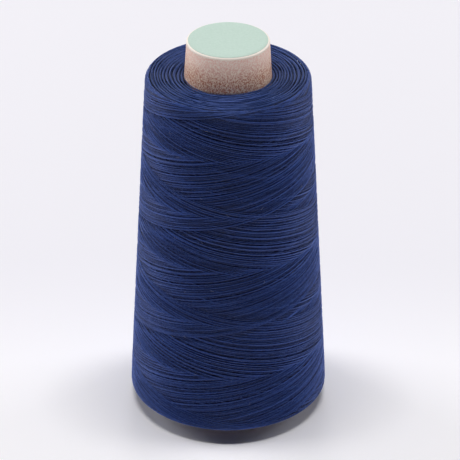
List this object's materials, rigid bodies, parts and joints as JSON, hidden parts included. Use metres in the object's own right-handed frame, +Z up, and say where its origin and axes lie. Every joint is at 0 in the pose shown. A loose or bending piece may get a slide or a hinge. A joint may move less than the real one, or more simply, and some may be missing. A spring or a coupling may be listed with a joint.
{
  "type": "cone of sewing thread",
  "caption": "Tapered paper cone with a turned-in nose and a round label, carrying a cross-wound winding of navy sewing thread, for over-end take-off.",
  "frame": {"origin": "centre of the paper cone's base edge, on the surface it stands on", "axes": "+Z up along the cone's axis, from the base to the nose; the front of the picture is -Y"},
  "size_m": [0.0728, 0.0728, 0.1452],
  "materials": {
    "board": "matt rolled board, burnished at the nose and base edges",
    "kraft_ply": "matt mottled kraft paper",
    "label_paper": "matt uncoated paper, pale green",
    "thread": "soft spun cotton thread, navy",
    "thread_top": "soft spun cotton thread, navy"
  },
  "bodies": {
    "root": {"cone_board": "board", "cone_outer_ply": "kraft_ply", "nose_label": "label_paper", "thread_winding": "thread", "outer_thread": "thread_top"}
  },
  "joints": []
}
